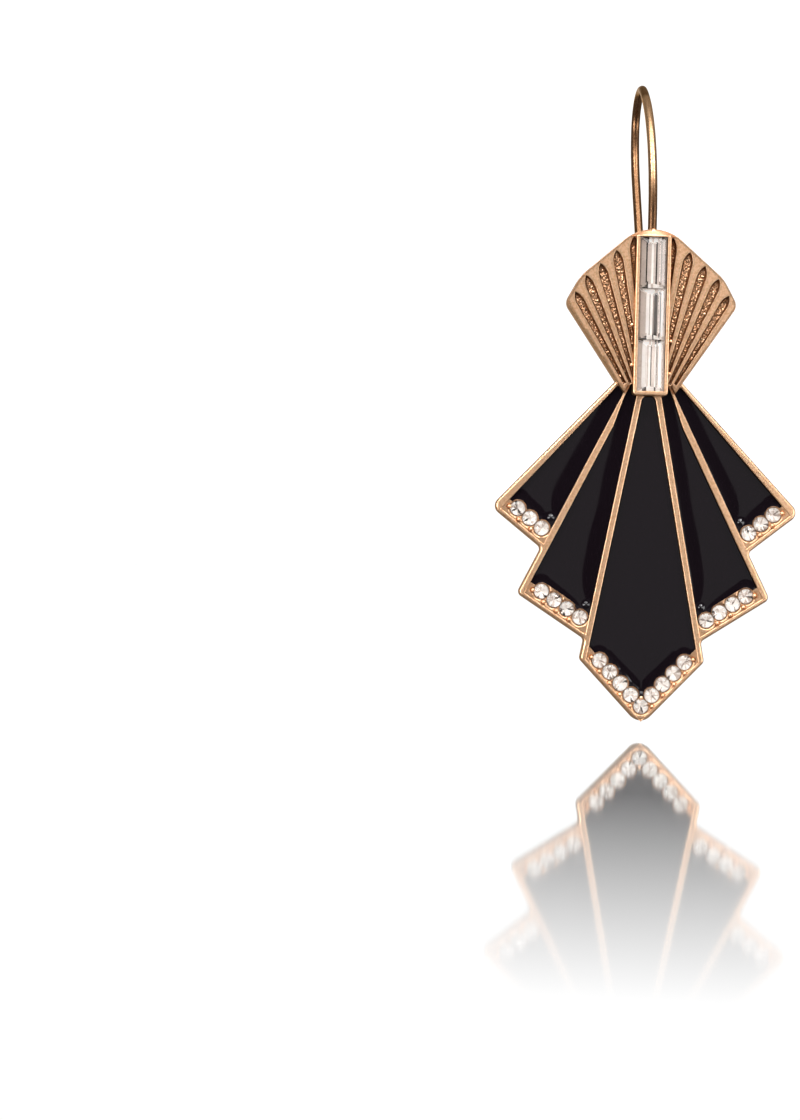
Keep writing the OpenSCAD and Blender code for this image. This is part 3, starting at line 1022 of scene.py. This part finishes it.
# Depth of the hook's foot
HOOK_Y = (PLATE_T - UPPER_RISE) / 2 + 0.15


def socket(shell):
    """The round seat of the hook's foot, and the bead of solder in front of it."""
    r = WIRE_D / 2 + SOCKET_WALL
    # Height and radius, from the mouth down
    profile = ((0.05, WIRE_D / 2), (0.0, r - 0.2), (-0.08, r - 0.05), (-0.25, r), (-2.4, r),
               (-2.6, r - 0.1), (-2.72, r - 0.35), (-2.75, 0.05))
    shell.bands([shell.add([(p.real, max(p.imag, 0.05), z) for p in circle(1j * HOOK_Y, half, 32)],
                           0.2) for z, half in profile])
    shell.sphere((0, -0.12, -0.28), SOLDER_D / 2, 0.1, rings=12, sides=20)


def fan_casting():
    shell = Shell()
    for build in (lower_fan, stone_ledges, beads, upper_fan, channel, socket):
        build(shell)
    made = shell.make("cast_fan", [GOLD])
    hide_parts("fan_casting")


# Enamel

# The enamel starts this much under its drop, and sinks further in the open, over these distances
# from its row of stones and from a rib
EDGE_DROP = 0.05
ENAMEL_DIP = 0.27
ROW_REACH, RIB_REACH = 0.9, 1.4
# It climbs at the stones, in places more, and swells a little, but stays under the rim's face
CLIMB, MORE_CLIMB, CLIMB_REACH = 0.005, 0.03, 0.1
SWELL, LEAST_DEPTH = 0.012, 0.01
# A small drop on it, from the first stone of its row
DROP_AT = (1.15j, -0.6 + 1.3j, -0.9 + 1.1j)
DROP_RISE, DROP_R = 0.19, 0.26


def enamel_height(i, points):
    """Depth of the glossy face: lowest in the open, and climbing to the metal and the stones."""
    points = np.array(points)
    row = [row_centres(i)[0], row_centres(i)[-1]]
    rows = [row, flipped_loop(row)] if i == 0 else [row]
    to_stone = np.maximum(nearest(points, row_stones(i)) - STONE_R - COLLAR_W, 0)
    to_row = distance(points, rows) - STONE_R - COLLAR_W
    open_share = 1 - np.exp(-np.maximum(to_row, 0) / ROW_REACH)
    if i > 0:
        near = side(i - 1)
        to_near = np.abs([cross(p - near[0], unit(near[1] - near[0])) for p in points])
        open_share *= 1 - np.exp(-to_near / RIB_REACH)
    uneven = np.array([0.5 + 0.5 * wave(p.real, i, p.imag, size=0.9, seed=6.0) for p in points])
    height = ENAMEL_DROP + EDGE_DROP + ENAMEL_DIP * open_share
    height -= (CLIMB + MORE_CLIMB * uneven) * np.exp(-to_stone / CLIMB_REACH)
    drop = row_start(i) + DROP_AT[i]
    height -= DROP_RISE * np.exp(-(np.abs(points - drop) / DROP_R) ** 2)
    swell = [SWELL * wave(p.real, i, p.imag, size=4.0, seed=2.0) for p in points]
    return np.maximum(height + swell, LEAST_DEPTH)


def enamel(i, name, mirrored=False):
    """The filling of a cell, with its scalloped edge beside the stones."""
    loop = dense(inset(enamel_outline(i), FIT / 2), step=0.12)
    shell = Shell()
    back = shell.ring(loop, CELL_DEPTH - FIT)
    rings = [back]
    for d in (0, 0.03, 0.07):
        points = inset(loop, d)
        rings.append(shell.ring(points, enamel_height(i, points)))
    shell.bands(rings)
    free = grid_points([shell.plane(rings[-1])], step=0.11, margin=0.05)
    shell.fill([rings[-1]], free, enamel_height(i, free))
    shell.fill([back], back=True)
    made = shell.make(name + "_fill", [ENAMEL], mirrored)
    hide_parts(name)


# Stones


def stone_place(node):
    """Middle of a stone in the fan's frame, its width and height, and its front and back."""
    low, high = (v / MM - FAN_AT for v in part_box(node))
    return (low + high) / 2, high - low, low.y, high.y


def rings_shell(rings):
    """A shell with rings of (x, y, z) points, and the numbers of each ring's points."""
    shell = Shell()
    return shell, [shell.add(points) for points in rings]


# Shares of a round stone's radius: its table, and the ring near its point
TABLE_SHARE, LOW_SHARE = 0.56, 0.3
# A ring of 8 points at radius 1 comes this near to the middle
NEAR_8 = math.cos(math.pi / 8)


def brilliant(node):
    """A round stone: table, 8 star, 8 kite and 16 girdle facets above, 24 facets below."""
    middle, size, front, back = stone_place(node)
    r = size.x / 2
    girdle = LEDGE_DROP - GIRDLE_T
    crown, table = girdle - front, TABLE_SHARE * r
    keel = back - LEDGE_DROP
    turn = 0.35 * (1 + wave(middle.x, 0, middle.z, size=0.7, seed=1.0)) * math.pi

    def ring(radius, y, n, offset=0.0):
        return [(middle.x + radius * math.cos(a), y, middle.z + radius * math.sin(a))
                for a in (turn + 2 * math.pi * (k + offset) / n for k in range(n))]

    mid = 0.5 * (r + table)
    mid_y = girdle - crown * (r - mid * NEAR_8) / (r - table)
    low = LOW_SHARE * r
    low_y = LEDGE_DROP + keel * (1 - low * NEAR_8 / r)
    shell, (top, mids, upper, lower, lows, tip) = rings_shell([
        ring(table, front, 8), ring(mid, mid_y, 8, 0.5), ring(r, girdle, 16),
        ring(r, LEDGE_DROP, 16), ring(low, low_y, 8, 0.5), [(middle.x, back, middle.z)]])
    f = shell.faces
    f.append(tuple(top))
    for k in range(8):
        f += [(top[k], mids[k], top[(k + 1) % 8]), (top[k], mids[k - 1], upper[2 * k], mids[k]),
              (mids[k], upper[2 * k], upper[2 * k + 1]),
              (mids[k], upper[2 * k + 1], upper[(2 * k + 2) % 16])]
    glass = len(f)
    for k in range(16):
        f.append((upper[k], lower[k], lower[(k + 1) % 16], upper[(k + 1) % 16]))
    for k in range(8):
        f += [(lower[2 * k], lows[k], lower[2 * k + 1]),
              (lower[2 * k + 1], lows[k], lower[(2 * k + 2) % 16]),
              (lower[2 * k], lows[k - 1], tip[0], lows[k])]
    # Painted reflections: each lower facet's foil takes one of the painted tones at random
    chance = random.Random(round(1000 * (middle.x + 40 * middle.z)))
    painted_tones = chance.choices((PAINTED_BRIGHT, PAINTED_PALE, PAINTED_SOFT, PAINTED_DARK), (15, 4, 2, 1), k=24)
    finish_stone(shell, node, [0] * glass + [PAINTED_BRIGHT] * 16 + painted_tones)


# Painted reflections on a baguette's long lower facets from left to right: (share of the width at
# its end, painted tone)
PAINTED_STRIPES = {
    "baguette_1": ((0.1, PAINTED_SOFT), (0.27, PAINTED_PALE), (0.33, PAINTED_DARK), (0.44, PAINTED_PALE), (0.52, PAINTED_BRIGHT),
                   (0.6, PAINTED_PALE), (0.66, PAINTED_DARK), (0.74, PAINTED_PALE), (0.8, PAINTED_SOFT), (0.9, PAINTED_PALE), (1, PAINTED_SOFT)),
    "baguette_2": ((0.12, PAINTED_SOFT), (0.32, PAINTED_PALE), (0.4, PAINTED_BRIGHT), (0.44, PAINTED_SOFT), (0.53, PAINTED_BRIGHT),
                   (0.58, PAINTED_SOFT), (0.7, PAINTED_DARK), (0.76, PAINTED_PALE), (0.8, PAINTED_DARK), (0.88, PAINTED_BRIGHT),
                   (1, PAINTED_PALE)),
    "baguette_3": ((0.2, PAINTED_PALE), (0.36, PAINTED_BRIGHT), (0.42, PAINTED_PALE), (0.5, PAINTED_BRIGHT), (0.53, PAINTED_DARK),
                   (0.64, PAINTED_PALE), (0.7, PAINTED_BRIGHT), (0.74, PAINTED_SOFT), (0.86, PAINTED_BRIGHT), (1, PAINTED_PALE))}
# How far the long facets' ends draw in for each millimetre of depth, their curve, and their limit
END_SLOPE = 1.1
KEEL_POWER = 1.6
KEEL_Y = -0.06


def baguette(node):
    """A step-cut stone: a long table, sloping sides and ends, and long facets below."""
    middle, size, front, back = stone_place(node)
    half_w, half_l = size.x / 2, size.z / 2
    girdle = CHANNEL_FACE - BAGUETTE_RISE + BAGUETTE_CROWN
    # Table, bevel and girdle: how far in from the sides and the ends, and depth
    shell, rings = rings_shell([
        [(middle.x + sx * (half_w - a), y, middle.z + sz * (half_l - b))
         for sx, sz in ((-1, -1), (1, -1), (1, 1), (-1, 1))]
        for a, b, y in ((0.80, 0.66, front), (0.22, 0.2, front + 0.2), (0, 0, girdle))])
    faces = shell.faces
    chance = random.Random(node)
    faces.append(tuple(rings[0]))
    shell.bands(rings, hollow=True)
    picks = [0] * len(faces)
    painted_stripes = PAINTED_STRIPES[node]
    shares = [0] + [share for share, _ in painted_stripes]
    deep = min(back, KEEL_Y) - girdle
    top, low = [], []
    for share in shares:
        x = middle.x + half_w * (2 * share - 1)
        depth = deep * (1 - abs(2 * share - 1) ** KEEL_POWER)
        reach = half_l - END_SLOPE * depth
        top.append(shell.add([(x, girdle, middle.z - half_l), (x, girdle, middle.z + half_l)]))
        low.append(shell.add([(x, girdle + depth, middle.z - reach),
                              (x, girdle + depth, middle.z + reach)]) if depth else top[-1])
    # Each long facet and its two end facets take painted tones of reflection
    for k, (_, tone) in enumerate(painted_stripes):
        n = k + 1
        faces.append((low[k][0], low[k][1], low[n][1], low[n][0]))
        for end in ((top[k][1], top[n][1], low[n][1], low[k][1]),
                    (top[n][0], top[k][0], low[k][0], low[n][0])):
            faces.append(tuple(dict.fromkeys(end)))
        picks += [tone, *chance.choices((PAINTED_BRIGHT, PAINTED_PALE, PAINTED_DARK), (8, 2, 1), k=2)]
    finish_stone(shell, node, picks)


def finish_stone(shell, node, picks):
    """Glass facets above and foiled ones below in painted tones of reflection, all of them flat."""
    made = shell.make(node + "_cut", [CRYSTAL, *PAINTED_FOILS], sharp=0.5, picks=picks)
    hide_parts(node)


# Ear hook

# Longest steps along the wire, in degrees of turn and in millimetres
TURN_STEP, WIRE_STEP = 2.5, 0.8


def hook_route():
    """(y, z, heading) along the wire, the heading in degrees turned back from straight up."""
    y, z, h = HOOK_Y, -SOCKET_DEPTH + FIT, 0.0
    route = [(y, z, h)]

    def ahead(length, turn=0.0):
        nonlocal y, z, h
        n = max(1, round(max(abs(turn) / TURN_STEP, length / WIRE_STEP)))
        for _ in range(n):
            h += turn / n / 2
            back, up = sin_cos(h)
            y += length / n * back
            z += length / n * up
            h += turn / n / 2
            route.append((y, z, h))

    def bend(r, turn):
        ahead(r * math.radians(abs(turn)), turn)

    ahead(SOCKET_DEPTH - FIT + LEG_STRAIGHT)
    bend(LEG_R, LEG_LEAN)
    bend(BEND_R, 180 - LEG_LEAN)
    bend(BACK_R, BACK_TURN)
    ahead(TAIL_L)
    bend(FLARE_R, -FLARE_TURN)
    return route


def ear_hook():
    shell = Shell()
    sides, r = 28, WIRE_D / 2
    route = hook_route()
    y, z, h = route[-1]
    back, up = sin_cos(h)
    stations = [(*place, r) for place in route]
    # The rounded end
    for a in (15, 30, 45, 60, 75, 88):
        out, radius = (r * v for v in sin_cos(a))
        stations.append((y + out * back, z + out * up, h, radius))
    rings = []
    for y, z, h, radius in stations:
        # Darker towards the front leg's foot; the bend and the back leg are dark all over, painted
        # shade
        darkness = min(1.0, max(0.2, 1.3 - 0.12 * z)) if h < LEG_LEAN - 8 else 1.0
        back, up = sin_cos(h)
        ring = []
        for a in np.linspace(0, 2 * math.pi, sides, endpoint=False):
            uneven = radius + 0.006 * wave(math.cos(a) * 2, y, z, size=1.1, seed=4.0)
            across, out = uneven * math.cos(a), uneven * math.sin(a)
            ring.append((across, y + out * up, z - out * back))
        rings.append(shell.add(ring, darkness))
    shell.bands(rings)
    shell.faces.append(tuple(rings[-1]))
    made = shell.make("bent_hook", [WIRE_GOLD_SHADED])
    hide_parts("ear_hook")


# Studio

# The photograph, in pixels
PHOTO_W, PHOTO_H = 800, 1120
PIXELS_PER_MM = 10
TOP_PIXEL = (653.4, 225)
TOP_Z = 0.5
ROLL = 1.47
YAW = 1.6
DISTANCE = 200
AIM_Z = -23.5
SENSOR = 36


def camera():
    """Looks level at the fan, from a little to its left and rolled, as the photograph does."""
    (s, c), (aside, ahead) = sin_cos(ROLL), sin_cos(YAW)
    drop = (TOP_Z - AIM_Z) * PIXELS_PER_MM
    pixel = (TOP_PIXEL[0] - drop * s, TOP_PIXEL[1] + drop * c)
    forward, level = Vector((aside, ahead, 0)), Vector((ahead, -aside, 0))
    upright = Vector((0, 0, 1))
    up, right = c * upright - s * level, c * level + s * upright
    aim = FAN_AT + Vector((0, 0, AIM_Z))
    across = (pixel[0] - PHOTO_W / 2) / PIXELS_PER_MM
    above = (PHOTO_H / 2 - pixel[1]) / PIXELS_PER_MM
    place = aim - DISTANCE * forward - across * right - above * up
    data = bpy.data.cameras.new("photo_camera")
    data.sensor_width = SENSOR
    data.lens = DISTANCE * SENSOR * PIXELS_PER_MM / PHOTO_H
    data.clip_start = 0.01
    made = placed("photo_camera", data)
    axes = Matrix((right, up, -forward)).transposed().to_4x4()
    made.matrix_world = Matrix.Translation(place * MM) @ axes
    bpy.context.scene.camera = made


FLOOR_GAP = 1.18
# Half the floor's width in metres, and where its mirroring starts and is full, and its most
FLOOR_HALF = 3.0
MIRROR_FROM, MIRROR_FULL, MIRROR_SHARE = 0.788, 0.888, 0.83
# Strength of the photo's white
WHITE = 1.02


def floor():
    """A pale glossy floor just under the tip, which mirrors it at a grazing view and fades out."""
    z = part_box("fan_casting")[0].z - FLOOR_GAP * MM
    mesh = bpy.data.meshes.new("studio_floor")
    mesh.from_pydata([(x * FLOOR_HALF, y * FLOOR_HALF, z)
                      for x, y in ((-1, -1), (1, -1), (1, 1), (-1, 1))], [], [(0, 1, 2, 3)])
    material, shader = principled("floor_gloss", (0.9, 0.9, 0.9))
    nodes = material.node_tree.nodes
    glossy = add_node(material, "BsdfGlossy", Color=(0.95, 0.985, 1), Roughness=0.05)
    white = add_node(material, "Emission", Strength=WHITE)
    facing = add_node(material, "LayerWeight", Blend=0.5).outputs["Facing"]
    share = map_range(material, facing, MIRROR_FROM, MIRROR_FULL, 0.0, MIRROR_SHARE)
    mix = add_node(material, "MixShader", Fac=share)
    feed(mix.inputs[1], white.outputs["Emission"])
    feed(mix.inputs[2], glossy.outputs["BSDF"])
    set_inputs(nodes["Material Output"], Surface=mix.outputs["Shader"])
    nodes.remove(shader)
    mesh.materials.append(material)
    made = placed("studio_floor", mesh)
    made.visible_glossy = False


LIGHT_AIM = Vector((0, 0, -38))


def soft_light(name, place, size, power):
    """A rectangular area light at place, in millimetres from the hook's top, aimed at the fan."""
    data = bpy.data.lights.new(name, "AREA")
    data.shape = "RECTANGLE"
    data.size, data.size_y = (v * MM for v in size)
    data.energy = power
    made = placed(name, data)
    made.location = Vector(place) * MM
    way = (LIGHT_AIM - Vector(place)).normalized()
    made.rotation_euler = way.to_track_quat("-Z", "Y").to_euler()
    made.visible_camera = False


# Grey of the room from in front of the earring to behind it
ROOM = ((0.0, 0.03), (0.05, 0.05), (0.16, 0.18), (0.3, 0.24), (0.8, 0.30), (0.93, 0.33),
        (0.955, 1.12))


def studio():
    """White all round behind the earring, a dim grey room in front, and soft lights."""
    world = bpy.data.worlds.new("studio")
    bpy.context.scene.world = world
    world.use_nodes = True
    way = add_node(world, "TexCoord").outputs["Generated"]
    split = add_node(world, "SeparateXYZ", Vector=way)
    back = map_range(world, split.outputs["Y"], -1, 1, 0, 1)
    shade = ramp(world, back, [(place, (grey, grey, grey)) for place, grey in ROOM])
    set_inputs(world.node_tree.nodes["Background"], Color=shade, Strength=WHITE)
    soft_light("top_softbox", (0, -140, 220), (340, 220), 1.15)
    soft_light("left_softbox", (-220, -200, -40), (190, 140), 0.75)
    soft_light("right_softbox", (220, -200, -40), (190, 140), 0.45)
    soft_light("front_card", (62, -400, -50), (136, 170), 0.0256)
    for x, power in ((-150, 0.4), (150, 0.34)):
        soft_light("key", (x, -160, 190), (60, 60), power)
    bpy.context.scene.view_settings.view_transform = "Standard"


camera()
studio()
floor()
fan_casting()
PANELS = ("centre",), ("inner_right", "inner_left"), ("outer_right", "outer_left")
for index, names in enumerate(PANELS):
    for name in names:
        enamel(index, "enamel_" + name, mirrored=name.endswith("left"))
for node in sorted(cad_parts):
    if node.startswith("stone_"):
        brilliant(node)
    elif node.startswith("baguette_"):
        baguette(node)
ear_hook()
